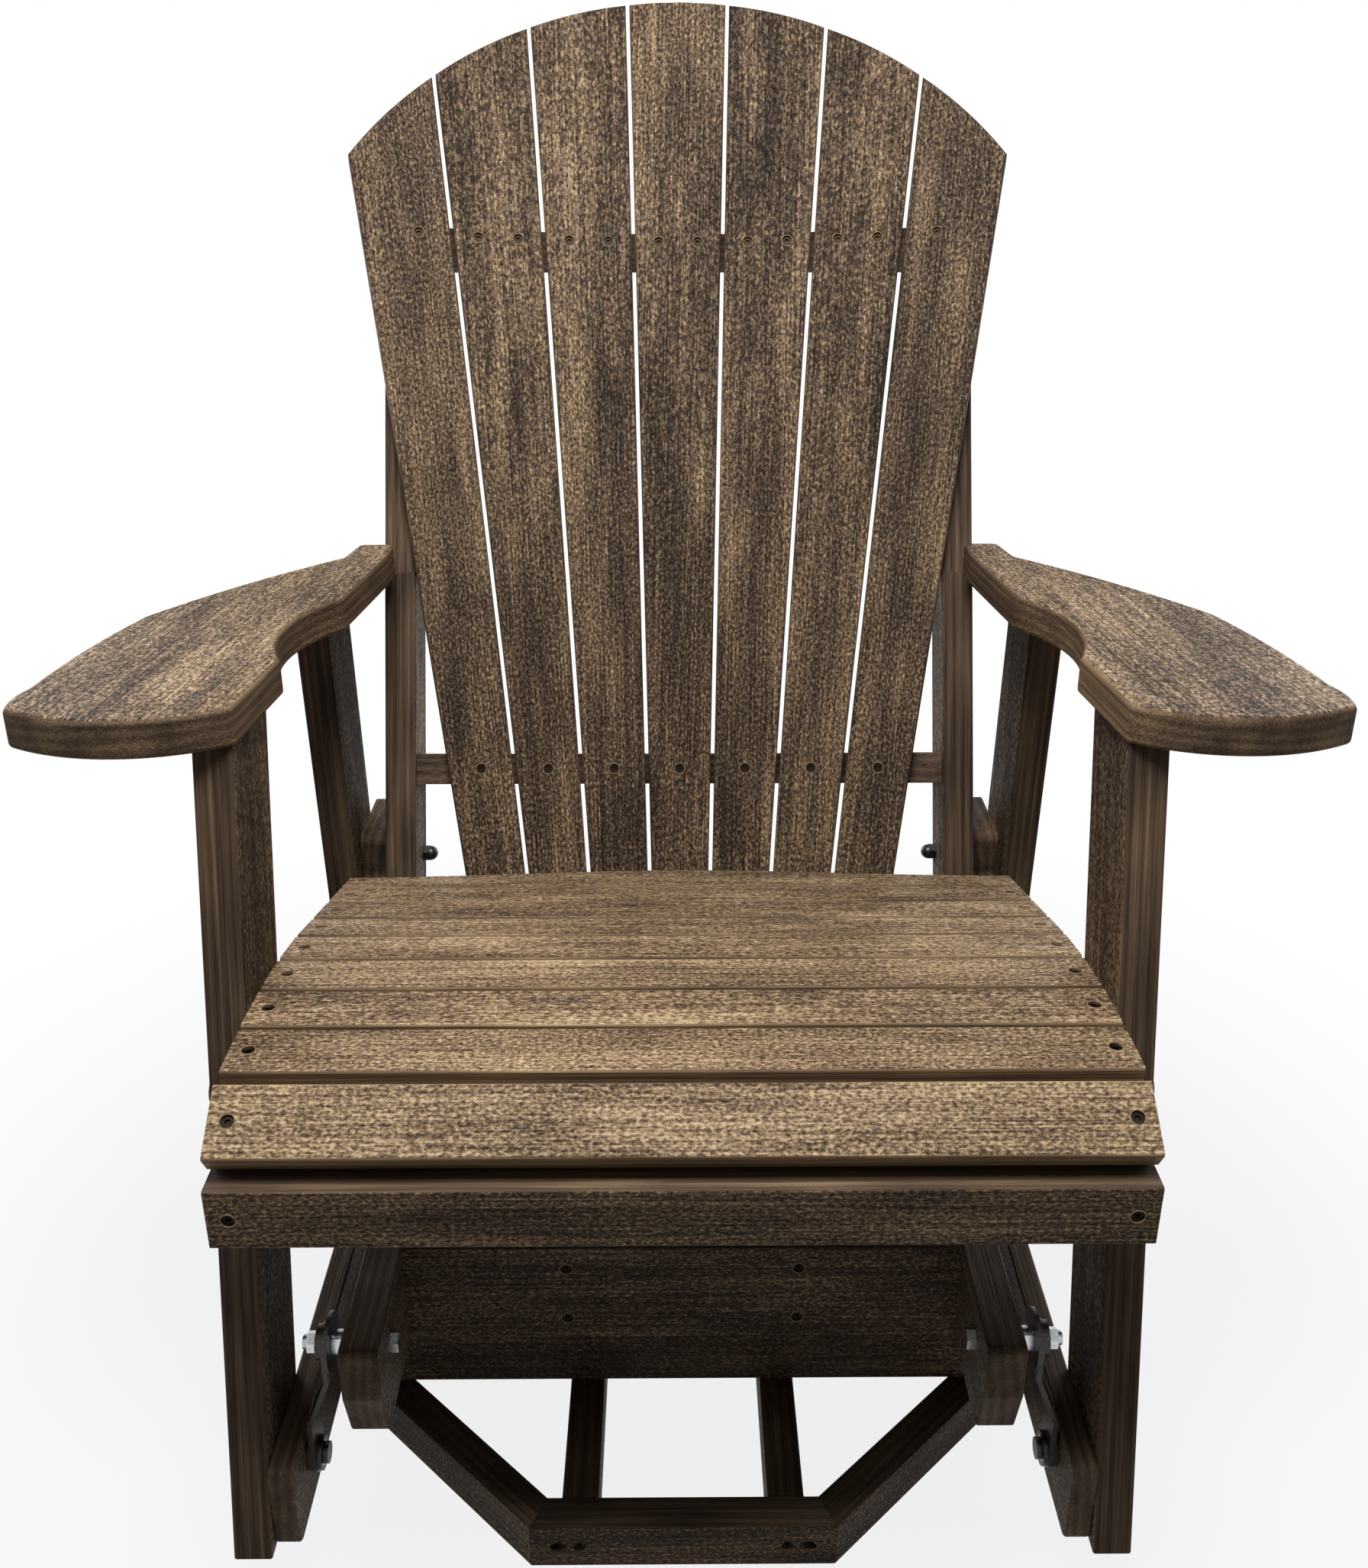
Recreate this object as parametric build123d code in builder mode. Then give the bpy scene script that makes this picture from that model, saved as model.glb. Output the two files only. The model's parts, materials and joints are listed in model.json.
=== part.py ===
from build123d import *
from math import atan2, cos, degrees, hypot, radians, sin, tan
import os

os.makedirs("parts", exist_ok=True)

# Swivel glider with a fan back. Millimetres. +Z is up, the seat faces -Y and X runs left to right.
# The origin is the middle of the whole chair's footprint, on the floor.
# Lengths along Y below are counted from the swivel axis, which stands near the origin.

# Lumber
board_thickness = 28.6
board_width = 88.9
slat_thickness = 19.0
thin_board = 19.0
edge_radius = 2.0
slat_edge_radius = 2.0

# Running gaps
seat_gap = 0.3
pin_clearance = 0.05
hole_clearance = 0.1
cut_overrun = 4.0

# Base ring, an octagon of mitred boards, with two members across it
ring_across = 568.0
ring_height = 41.5
ring_sides = 8
mitre_gap = 0.5
member_inset = 37.6367

# Flat swivel bearing
bearing_room = 150.0
bearing_height = 9.5
bearing_plate = 2.0
bearing_opening_radius = 38.0
bearing_corner = 12.0
race_radius = 92.0
ball_count = 24

# Glide frame that turns on the swivel
rail_room = 42.0
rail_bottom = 142.0
rail_half_length = 298.0
rail_nose_height = 44.0
rail_nose_cut = 15.0
rail_nose_radius = 6.0
upper_board_reach = 191.0
lower_board_reach = 146.0
bearer_offset = 90.0

# Swing links and their pivots
pivot_reach = 254.0
upper_pivot_height = 200.0
lower_pivot_height = 89.0
disc_room = 14.0
disc_thickness = 3.0
disc_radius = 22.0
hub_length = 8.0
hub_radius = 13.0
bearing_radius = 9.0
link_thickness = 4.0
link_half_width = 14.0
link_lower_room = 4.0
link_bend_top = 172.0
link_bend_bottom = 128.0
pivot_bolt_radius = 5.0
pivot_collar_radius = 9.0
pivot_nut_radius = 8.2
pivot_nut_height = 7.0
pivot_head_height = 6.5
lower_head_height = 3.5
bolt_tail = 3.5

# Chair frame
seat_half_width = 305.0
chair_rail_height = 74.0
chair_rail_front = 303.0
chair_rail_rear = 297.0
foot_height = 46.0
front_leg_lean = 15.1
front_leg_foot = 314.7
rear_leg_lean = 4.0
rear_leg_foot = 184.0
foot_radius = 9.0

# Seat
apron_front = 338.0
apron_bottom = 360.0
apron_height = 45.5
seat_slat_width = 50.8
seat_slat_gap = 4.4
seat_slat_count = 9
crest_reach = 250.0
crest_rise = 14.0
seat_fall = 14.5
seat_bend_length = 214.0
front_slat_reach = 309.5
front_slat_rise = 79.0
front_slat_slope = 33.0
rear_slat_end_width = 36.0
rear_slat_middle_width = 64.0
rear_slat_knee_width = 44.0
rear_slat_knee = 203.0
heel_start = 193.0
heel_rise = 36.0
heel_end = 300.0
heel_radius = 26.0
belly_drop = 88.0
belly_radius = 60.0

# Fan back
recline = 24.06
back_foot_reach = 175.0
back_foot_rise = 18.0
fan_length = 816.3
fan_foot_room = 73.4
fan_overhang = 27.5
fan_slat_gap = 3.4
fan_cup = 3.4
fan_tail = 40.0
slats_each_side = 3
crown_spread = 72.0
lower_rail_station = 88.0
upper_rail_station = 588.0
back_rail_height = 29.0
upright_depth = 60.0
upright_forward = 15.0
upright_tail = 92.0
upright_tail_radius = 25.0

# Arms
arm_top = 663.5
arm_front = 182.0
arm_rear = 261.0
arm_neck_inset = 42.0
arm_overhang = 124.4
arm_corner_radius = 8.0
arm_edge_radius = 4.0

# Fasteners
screw_head_radius = 4.6
screw_head_height = 3.0
screw_sink = 2.0
screw_shank_radius = 2.3
screw_drive_radius = 2.2
screw_drive_depth = 1.8
seat_screw_inset = 13.0
short_screw_length = 42.0
long_screw_length = 62.0
frame_screw_inset = 20.0
pocket_screw_inset = 22.0
pocket_screw_sink = 11.0
plate_screw_head_height = 2.0
plate_screw_inset = 20.0
back_screw_spread = 18.5
outer_screw_shift = 12.0
outer_screw_rise = 2.0
arm_screw_spread = 44.0
arm_screw_drop = 13.0
arm_screw_length = 36.0
leg_screw_spread = 50.0
carriage_radius = 4.0
carriage_head_radius = 9.5
carriage_head_height = 4.0
cap_nut_radius = 8.0
cap_nut_height = 6.5
front_bolt_rise = 26.0
upper_bolt_station = 7.0
lower_bolt_station = -60.0
bolt_depth = 32.0

# Worked-out sizes
ring_reach = ring_across / 2
mitre_slope = tan(radians(180 / ring_sides))
member_offset = ring_reach * mitre_slope - member_inset
bearing_side = ring_across - 2 * bearing_room
crown_radius = seat_half_width + crown_spread
bearing_top = ring_height + bearing_height
side_inner = seat_half_width - board_thickness
leg_outer = seat_half_width + board_thickness
chair_rail_inner = seat_half_width - thin_board
upright_inner = side_inner - board_thickness
rail_outer = chair_rail_inner - rail_room
rail_inner = rail_outer - board_thickness
rail_top = rail_bottom + board_width
disc_inner = rail_outer + disc_room
link_inner = disc_inner + disc_thickness
hub_outer = link_inner + hub_length
link_foot = chair_rail_inner - link_lower_room - link_thickness
lower_hub_outer = chair_rail_inner - seat_gap
lower_hub_inner = lower_hub_outer - disc_thickness - hub_length
link_length = upper_pivot_height - lower_pivot_height
front_slat_height = apron_bottom + front_slat_rise
crest_height = front_slat_height + crest_rise
heel_top = apron_bottom + heel_rise
belly_height = apron_bottom - belly_drop
back_foot_height = apron_bottom + back_foot_rise
arm_neck = seat_half_width - arm_neck_inset
arm_outer = leg_outer + arm_overhang
arm_length = arm_front + arm_rear
upright_top = upper_rail_station - back_rail_height / 2
upright_middle = upright_depth / 2 - upright_forward
fan_half_count = slats_each_side + 1 / 2
fan_bottom_pitch = (side_inner - fan_foot_room) / fan_half_count
fan_top_pitch = (seat_half_width + fan_overhang) / fan_half_count

# The slats' centre lines meet at the fan's apex, below the seat, and the cup turns each slat
# about an axis through that apex.
fan_taper = (fan_top_pitch - fan_bottom_pitch) / fan_length
fan_start = fan_bottom_pitch / fan_taper
fan_turn = hypot(fan_taper, radians(fan_cup))
fan_cone = atan2(fan_taper, radians(fan_cup))
fan_edge_slope = tan(fan_turn / 2) * sin(fan_cone)
rise = cos(radians(recline))
run = sin(radians(recline))

# The front of the apron and the top of the back set where the swivel axis stands.
crown_reach = back_foot_reach + fan_length * run + slat_thickness * rise
crown_reach -= slat_edge_radius * run + slat_edge_radius * rise - slat_edge_radius
swivel_y = (apron_front - crown_reach) / 2

sides = (("left", -1), ("right", 1))
ends = (("front", -1), ("rear", 1))


def side_plane(x):
    """Plane across X: local x runs rearward from the swivel axis and local y runs up."""
    return Plane(origin=(x, swivel_y, 0), x_dir=(0, 1, 0), z_dir=(1, 0, 0))


def front_plane(y):
    """Plane that faces the front: local x runs right and local y runs up."""
    return Plane(origin=(0, swivel_y + y, 0), x_dir=(1, 0, 0), z_dir=(0, -1, 0))


def top_plane(z):
    """Level plane: local x runs right and local y runs rearward from the swivel axis."""
    return Plane(origin=(0, swivel_y, z), x_dir=(1, 0, 0), z_dir=(0, 0, 1))


def back_plane(depth=0):
    """Plane of the middle back slat's front: local x runs right, local y runs up the slope."""
    y = swivel_y + back_foot_reach + depth * rise
    z = back_foot_height - depth * run
    return Plane(origin=(0, y, z), x_dir=(1, 0, 0), z_dir=(0, -rise, run))


def fan_plane(place, depth=0):
    """Front plane of one back slat, with its origin at the apex and local y up the slat."""
    flat = back_plane()
    apex = flat.from_local_coords((0, -fan_start, 0))
    cone_axis = Axis((0, 0, 0), flat.y_dir * cos(fan_cone) + flat.z_dir * sin(fan_cone))
    turn = -degrees(fan_turn) * place
    across = flat.x_dir.rotate(cone_axis, turn)
    facing = flat.z_dir.rotate(cone_axis, turn)
    return Plane(origin=apex - facing * depth, x_dir=across, z_dir=facing)


def facing_place(origin, facing):
    """Screw place from a point that is counted from the swivel axis, and the way its head faces."""
    x_dir = (0, 0, 1) if abs(facing[2]) < 1 / 2 else (1, 0, 0)
    return Plane(origin=Vector(0, swivel_y, 0) + Vector(*origin), x_dir=x_dir, z_dir=facing)


def add_rod(places, radius, length, mode=Mode.ADD):
    """Round rods or holes that start at each place and run out along it."""
    with BuildSketch(*places) as section:
        Circle(radius)
    extrude(section.sketch, amount=length, mode=mode)


def add_nut(places, radius, hole, length):
    """Six-sided nuts with a clear hole, that start at each place and run out along it."""
    with BuildSketch(*places) as section:
        RegularPolygon(radius, 6)
        if hole:
            Circle(hole + pin_clearance, mode=Mode.SUBTRACT)
    extrude(section.sketch, amount=length)


def add_collar(places, radius, hole, length):
    """Round collars with a clear hole, that start at each place and run out along it."""
    with BuildSketch(*places) as section:
        Circle(radius)
        Circle(hole + pin_clearance, mode=Mode.SUBTRACT)
    extrude(section.sketch, amount=length)


def drill(places, length, sink=screw_sink):
    """Recessed screw holes that run down from each place."""
    with Locations(*[place.offset(cut_overrun) for place in places]):
        CounterBoreHole(
            radius=screw_shank_radius + hole_clearance,
            counter_bore_radius=screw_head_radius + hole_clearance,
            counter_bore_depth=cut_overrun + sink + screw_head_height,
            depth=cut_overrun + length + hole_clearance,
        )


def add_screws(places, length, sink=screw_sink):
    """Screws with a round head and a drive socket, sunk below each place."""
    tops = [place.offset(-sink) for place in places]
    necks = [place.offset(-sink - screw_head_height) for place in places]
    add_rod(tops, screw_head_radius, -screw_head_height)
    add_rod(necks, screw_shank_radius, sink + screw_head_height - length)
    add_rod(tops, screw_drive_radius, -screw_drive_depth, Mode.SUBTRACT)


def bore(places, radius, length):
    """Plain round holes that run down from each place."""
    with Locations(*[place.offset(cut_overrun) for place in places]):
        Hole(radius + hole_clearance, depth=length + 2 * cut_overrun)


def finish(builder, name):
    """Name one finished piece and write it."""
    builder.part.label = name
    export_step(builder.part, f"parts/{name}.step")


# Screws of the base: slanting ones at the mitres, straight ones into the members' ends, and the
# low-headed ones that hold the lower bearing plate
def pocket_places():
    reach = ring_reach * mitre_slope - pocket_screw_inset
    slant = 360 / ring_sides
    places = []
    for step in range(ring_sides // 2):
        for hand in (-1, 1):
            turn = step * 2 * slant
            spot = Vector(hand * reach, -ring_reach, ring_height / 2).rotate(Axis.Z, turn)
            facing = Vector(0, -1, 0).rotate(Axis.Z, turn - hand * slant)
            places.append(facing_place(spot, tuple(facing)))
    return places


def member_end_places():
    return [
        facing_place((x, hand * ring_reach, ring_height / 2), (0, hand, 0))
        for x in (-member_offset, member_offset)
        for hand in (-1, 1)
    ]


def plate_places(x, y, z, facing):
    return [
        facing_place((across * x, along * y, z), (0, 0, facing)) for across in (-1, 1) for along in (-1, 1)
    ]


def drill_plate_screws(places):
    with Locations(*[place.offset(cut_overrun) for place in places]):
        Hole(screw_shank_radius + hole_clearance, depth=short_screw_length / 2 + 2 * cut_overrun)


def add_plate_screws(places):
    add_rod(places, screw_head_radius, plate_screw_head_height)
    add_rod(places, screw_shank_radius, -short_screw_length / 2)


lower_plate_places = plate_places(
    member_offset, bearing_side / 2 - plate_screw_inset, ring_height + bearing_plate, 1
)
upper_plate_places = plate_places(
    bearing_side / 2 - 2 * plate_screw_inset,
    (bearing_side / 2 + lower_board_reach - board_thickness) / 2,
    bearing_top - bearing_plate,
    -1,
)

with BuildPart() as ring_boards:
    inner_reach = ring_reach - board_thickness
    outer_half = ring_reach * mitre_slope - mitre_gap / 2
    inner_half = inner_reach * mitre_slope - mitre_gap / 2
    for step in range(ring_sides):
        with BuildSketch(top_plane(0).rotated((0, 0, step * 360 / ring_sides))):
            with BuildLine():
                Polyline(
                    (-outer_half, -ring_reach),
                    (outer_half, -ring_reach),
                    (inner_half, -inner_reach),
                    (-inner_half, -inner_reach),
                    close=True,
                )
            make_face()
        extrude(amount=ring_height)
    fillet(ring_boards.edges().filter_by(lambda edge: edge.length > 2 * board_thickness), edge_radius)
    drill(pocket_places(), long_screw_length, pocket_screw_sink)
    drill(member_end_places(), long_screw_length)
finish(ring_boards, "ring_boards")

for side, hand in sides:
    with BuildPart() as ring_cross_member:
        with BuildSketch(front_plane(-ring_reach + board_thickness)):
            with Locations((hand * member_offset, ring_height / 2)):
                Rectangle(board_thickness, ring_height)
        extrude(amount=2 * board_thickness - ring_across)
        fillet(ring_cross_member.edges().filter_by(Axis.Y), edge_radius)
        drill(member_end_places(), long_screw_length)
        drill_plate_screws(lower_plate_places)
    finish(ring_cross_member, f"ring_cross_member_{side}")

with BuildPart() as ring_screws:
    add_screws(pocket_places(), long_screw_length, pocket_screw_sink)
    add_screws(member_end_places(), long_screw_length)
    add_plate_screws(lower_plate_places)
finish(ring_screws, "ring_screws")

# Swivel bearing
for name, bottom, places in (
    ("swivel_lower_plate", ring_height, lower_plate_places),
    ("swivel_upper_plate", bearing_top - bearing_plate, upper_plate_places),
):
    with BuildPart() as swivel_plate:
        with BuildSketch(top_plane(bottom)):
            RectangleRounded(bearing_side, bearing_side, bearing_corner)
            Circle(bearing_opening_radius, mode=Mode.SUBTRACT)
        extrude(amount=bearing_plate)
        drill_plate_screws(places)
    finish(swivel_plate, name)

with BuildPart() as swivel_balls:
    with Locations((0, swivel_y, (ring_height + bearing_top) / 2)):
        with PolarLocations(race_radius, ball_count):
            Sphere(bearing_height / 2 - bearing_plate - seat_gap)
finish(swivel_balls, "swivel_balls")


# Glide frame
def rail_end_places():
    return [
        facing_place((hand * rail_outer, along * (upper_board_reach - board_thickness / 2), z), (hand, 0, 0))
        for hand in (-1, 1)
        for along in (-1, 1)
        for z in (rail_bottom + frame_screw_inset, rail_top - frame_screw_inset)
    ]


def bearer_end_places():
    return [
        facing_place((x, along * upper_board_reach, z), (0, along, 0))
        for x in (-bearer_offset, bearer_offset)
        for along in (-1, 1)
        for z in (rail_bottom + frame_screw_inset, rail_top - frame_screw_inset)
    ]


def upper_pivot_places():
    return [
        facing_place((hand * rail_inner, along * pivot_reach, upper_pivot_height), (-hand, 0, 0))
        for hand in (-1, 1)
        for along in (-1, 1)
    ]


for end, along in ends:
    with BuildPart() as lower_cross_board:
        with BuildSketch(top_plane(bearing_top)):
            with Locations((0, along * (lower_board_reach - board_thickness / 2))):
                Rectangle(2 * rail_outer, board_thickness)
        extrude(amount=rail_bottom - bearing_top)
        fillet(lower_cross_board.edges().filter_by(Axis.X), edge_radius)
        drill_plate_screws(upper_plate_places)
    finish(lower_cross_board, f"lower_cross_board_{end}")

    with BuildPart() as upper_cross_board:
        with BuildSketch(top_plane(rail_bottom)):
            with Locations((0, along * (upper_board_reach - board_thickness / 2))):
                Rectangle(2 * rail_inner, board_thickness)
        extrude(amount=board_width)
        fillet(upper_cross_board.edges().filter_by(Axis.X), edge_radius)
        drill(bearer_end_places(), long_screw_length)
        drill(rail_end_places(), long_screw_length)
    finish(upper_cross_board, f"upper_cross_board_{end}")

for side, hand in sides:
    with BuildPart() as glide_rail:
        with BuildSketch(side_plane(hand * rail_outer)):
            with BuildLine():
                Polyline(
                    (-rail_half_length, rail_top),
                    (-rail_half_length, rail_top - rail_nose_height),
                    (-rail_half_length + rail_nose_cut, rail_bottom),
                    (rail_half_length - rail_nose_cut, rail_bottom),
                    (rail_half_length, rail_top - rail_nose_height),
                    (rail_half_length, rail_top),
                    close=True,
                )
            make_face()
            fillet(vertices(), rail_nose_radius)
        extrude(amount=-hand * board_thickness)
        fillet(glide_rail.faces().filter_by(Axis.X).edges(), edge_radius)
        drill(rail_end_places(), long_screw_length)
        bore(upper_pivot_places(), pivot_bolt_radius, board_thickness)
    finish(glide_rail, f"glide_rail_{side}")

    with BuildPart() as bearer:
        with BuildSketch(front_plane(-upper_board_reach + board_thickness)):
            with Locations((hand * bearer_offset, (rail_bottom + rail_top) / 2)):
                Rectangle(board_thickness, board_width)
        extrude(amount=-2 * (upper_board_reach - board_thickness))
        fillet(bearer.edges().filter_by(Axis.Y), edge_radius)
        drill(bearer_end_places(), long_screw_length)
    finish(bearer, f"bearer_{side}")

with BuildPart() as frame_screws:
    add_screws(bearer_end_places(), long_screw_length)
    add_screws(rail_end_places(), long_screw_length)
    add_plate_screws(upper_plate_places)
finish(frame_screws, "frame_screws")

# Upper pivots: bolt through the glide rail, collar against its outer face, hub of the link, nut
with BuildPart() as upper_pivot_bolts:
    heads = upper_pivot_places()
    nut_start = hub_outer + seat_gap - rail_inner
    collars = [place.offset(-board_thickness) for place in heads]
    nuts = [place.offset(-nut_start) for place in heads]
    add_nut(heads, pivot_nut_radius, 0, pivot_head_height)
    add_rod(heads, pivot_bolt_radius, -nut_start - pivot_nut_height - bolt_tail)
    add_collar(collars, pivot_collar_radius, pivot_bolt_radius, rail_outer - disc_inner + seat_gap)
    add_nut(nuts, pivot_nut_radius, pivot_bolt_radius, -pivot_nut_height)
finish(upper_pivot_bolts, "upper_pivot_bolts")



# Swing links: an upper disc and hub on the glide frame's pivot, a plate, and a lower hub
for end, along in ends:
    for side, hand in sides:
        eyes = (
            (disc_inner, hub_outer, (along * pivot_reach, upper_pivot_height)),
            (lower_hub_inner, lower_hub_outer, (along * pivot_reach, lower_pivot_height)),
        )
        with BuildPart() as swing_link:
            with BuildSketch(front_plane(along * pivot_reach - link_half_width)):
                with BuildLine():
                    Polyline(
                        (hand * link_inner, upper_pivot_height + link_half_width),
                        (hand * (link_inner + link_thickness), upper_pivot_height + link_half_width),
                        (hand * (link_inner + link_thickness), link_bend_top),
                        (hand * (link_foot + link_thickness), link_bend_bottom),
                        (hand * (link_foot + link_thickness), lower_pivot_height - link_half_width),
                        (hand * link_foot, lower_pivot_height - link_half_width),
                        (hand * link_foot, link_bend_bottom),
                        (hand * link_inner, link_bend_top),
                        close=True,
                    )
                make_face()
            extrude(amount=-2 * link_half_width)
            with BuildSketch(side_plane(hand * disc_inner)):
                with Locations((along * pivot_reach, (upper_pivot_height + lower_pivot_height) / 2)):
                    SlotCenterToCenter(link_length, 2 * link_half_width, rotation=90)
            extrude(amount=hand * (chair_rail_inner - disc_inner), mode=Mode.INTERSECT)
            with BuildSketch(side_plane(hand * disc_inner)):
                with Locations(eyes[0][2]):
                    Circle(disc_radius)
            extrude(amount=hand * disc_thickness)
            for start, stop, centre in eyes:
                with BuildSketch(side_plane(hand * start)):
                    with Locations(centre):
                        Circle(hub_radius)
                extrude(amount=hand * (stop - start))
            for start, stop, centre in eyes:
                with BuildSketch(side_plane(hand * (start - cut_overrun))):
                    with Locations(centre):
                        Circle(bearing_radius + pin_clearance)
                extrude(amount=hand * (stop - start + 2 * cut_overrun), mode=Mode.SUBTRACT)
        finish(swing_link, f"swing_link_{end}_{side}")

        with BuildPart() as link_bearing:
            for start, stop, centre in eyes:
                with BuildSketch(side_plane(hand * start)):
                    with Locations(centre):
                        Circle(bearing_radius)
                        Circle(pivot_bolt_radius + pin_clearance, mode=Mode.SUBTRACT)
                extrude(amount=hand * (stop - start))
        finish(link_bearing, f"link_bearing_{end}_{side}")


# Chair frame, hung on the lower pivots
def lower_pivot_places():
    return [
        facing_place((hand * leg_outer, along * pivot_reach, lower_pivot_height), (hand, 0, 0))
        for hand in (-1, 1)
        for along in (-1, 1)
    ]


# Lower pivots: low head against the link's hub, bolt through the chair rail and the leg, nut outside
with BuildPart() as lower_pivot_bolts:
    nuts = lower_pivot_places()
    head_start = leg_outer - lower_hub_inner + seat_gap
    heads = [place.offset(-head_start) for place in nuts]
    add_rod(heads, pivot_nut_radius, -lower_head_height)
    add_rod(heads, pivot_bolt_radius, head_start + pivot_nut_height + bolt_tail)
    add_nut(nuts, pivot_nut_radius, pivot_bolt_radius, pivot_nut_height)
finish(lower_pivot_bolts, "lower_pivot_bolts")


def leg_edge(end, z):
    """Reach of a leg's front edge at a height."""
    if end == "front":
        return -front_leg_foot + (z - foot_height) * tan(radians(front_leg_lean))
    return rear_leg_foot - (z - foot_height) * tan(radians(rear_leg_lean))


def leg_width(end):
    lean = front_leg_lean if end == "front" else rear_leg_lean
    return board_width / cos(radians(lean))


def leg_middle(end, z):
    return leg_edge(end, z) + leg_width(end) / 2


def arm_screw_places():
    """Slanting screws from the legs' outer faces up into the arm: two in front, one behind."""
    middle = leg_middle("front", arm_top)
    rear_reach = leg_edge("rear", arm_top) + arm_screw_spread / 2
    places = []
    for hand in (-1, 1):
        for reach in (middle - arm_screw_spread / 2, middle + arm_screw_spread / 2, rear_reach):
            spot = (hand * leg_outer, swivel_y + reach, arm_top - board_thickness - arm_screw_drop)
            places.append(Plane(origin=spot, x_dir=(0, 1, 0), z_dir=(hand, 0, -1)))
    return places


def leg_screw_places():
    """Screws from the outer faces of the legs into the chair rails."""
    front = -pivot_reach - leg_screw_spread / 2
    rear = pivot_reach - leg_screw_spread
    return [
        facing_place((hand * leg_outer, reach, lower_pivot_height), (hand, 0, 0))
        for hand in (-1, 1)
        for reach in (front, front + leg_screw_spread, rear, rear + leg_screw_spread / 2)
    ]


def upright_point(station, depth):
    """Reach and height of a point of the uprights' side view."""
    y = back_foot_reach + station * run + depth * rise
    z = back_foot_height + station * rise - depth * run
    return y, z


def front_bolt_places():
    """Carriage bolts through the front legs and the seat sides."""
    height = apron_bottom + front_bolt_rise
    return [
        facing_place((hand * leg_outer, leg_middle("front", height) + shift, height), (hand, 0, 0))
        for hand in (-1, 1)
        for shift in (-leg_screw_spread / 2, leg_screw_spread / 2)
    ]


def rear_bolt_places():
    """Carriage bolts through the rear legs, the seat sides and the uprights."""
    return [
        facing_place((hand * leg_outer, *upright_point(station, bolt_depth)), (hand, 0, 0))
        for hand in (-1, 1)
        for station in (upper_bolt_station, lower_bolt_station)
    ]


for side, hand in sides:
    with BuildPart() as chair_rail:
        with BuildSketch(side_plane(hand * seat_half_width)):
            with BuildLine():
                Polyline(
                    (-chair_rail_front, foot_height),
                    (chair_rail_rear, foot_height),
                    (chair_rail_rear, foot_height + chair_rail_height),
                    (-chair_rail_front, foot_height + chair_rail_height),
                    close=True,
                )
            make_face()
            fillet(vertices(), foot_radius)
        extrude(amount=-hand * thin_board)
        fillet(chair_rail.faces().filter_by(Axis.X).edges(), edge_radius)
        drill(leg_screw_places(), short_screw_length)
        bore(lower_pivot_places(), pivot_bolt_radius, leg_outer - chair_rail_inner)
    finish(chair_rail, f"chair_rail_{side}")

    for end in ("front", "rear"):
        width = leg_width(end)
        with BuildPart() as leg:
            with BuildSketch(side_plane(hand * seat_half_width)):
                with BuildLine():
                    foot = leg_edge(end, foot_height)
                    top = leg_edge(end, arm_top - board_thickness)
                    Polyline(
                        (foot, foot_height),
                        (foot + width, foot_height),
                        (top + width, arm_top - board_thickness),
                        (top, arm_top - board_thickness),
                        close=True,
                    )
                make_face()
                fillet(vertices().group_by(Axis.Z)[0], edge_radius)
            extrude(amount=hand * board_thickness)
            fillet(leg.faces().filter_by(Axis.X).edges(), edge_radius)
            drill(arm_screw_places(), arm_screw_length, pocket_screw_sink)
            drill(leg_screw_places(), short_screw_length)
            bore(lower_pivot_places(), pivot_bolt_radius, leg_outer - chair_rail_inner)
            if end == "front":
                bore(front_bolt_places(), carriage_radius, board_thickness)
            else:
                bore(rear_bolt_places(), carriage_radius, board_thickness)
        finish(leg, f"{end}_leg_{side}")


# Seat: a level crest at the second slat, a gentle bend and a straight fall to the back
def seat_point(distance, depth=0):
    """Reach, height and fall of the seat at a distance behind the crest and a depth below its top."""
    radius = seat_bend_length / radians(seat_fall)
    angle = min(distance / radius, radians(seat_fall))
    straight = max(distance - seat_bend_length, 0)
    y = -crest_reach + (radius - depth) * sin(angle) + straight * cos(angle)
    z = crest_height - radius + (radius - depth) * cos(angle) - straight * sin(angle)
    return y, z, degrees(angle)


def seat_plane(number):
    """Plane of one seat slat's top: local x runs right, local y runs rearward along the slat's width."""
    if number == 0:
        y, z, fall = -front_slat_reach, front_slat_height, -front_slat_slope
    else:
        y, z, fall = seat_point((number - 1) * (seat_slat_width + seat_slat_gap))
    z_dir = (0, sin(radians(fall)), cos(radians(fall)))
    return Plane(origin=(0, swivel_y + y, z), x_dir=(1, 0, 0), z_dir=z_dir)


def seat_screw_places(number):
    screw_reach = seat_half_width - seat_screw_inset
    return [
        Plane(
            origin=seat_plane(number).from_local_coords((hand * screw_reach, 0, 0)),
            x_dir=(1, 0, 0),
            z_dir=seat_plane(number).z_dir,
        )
        for hand in (-1, 1)
    ]


def apron_places():
    height = apron_bottom + apron_height / 2
    return [
        facing_place((hand * (side_inner + board_thickness / 2), -apron_front, height), (0, -1, 0))
        for hand in (-1, 1)
    ]


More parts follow.
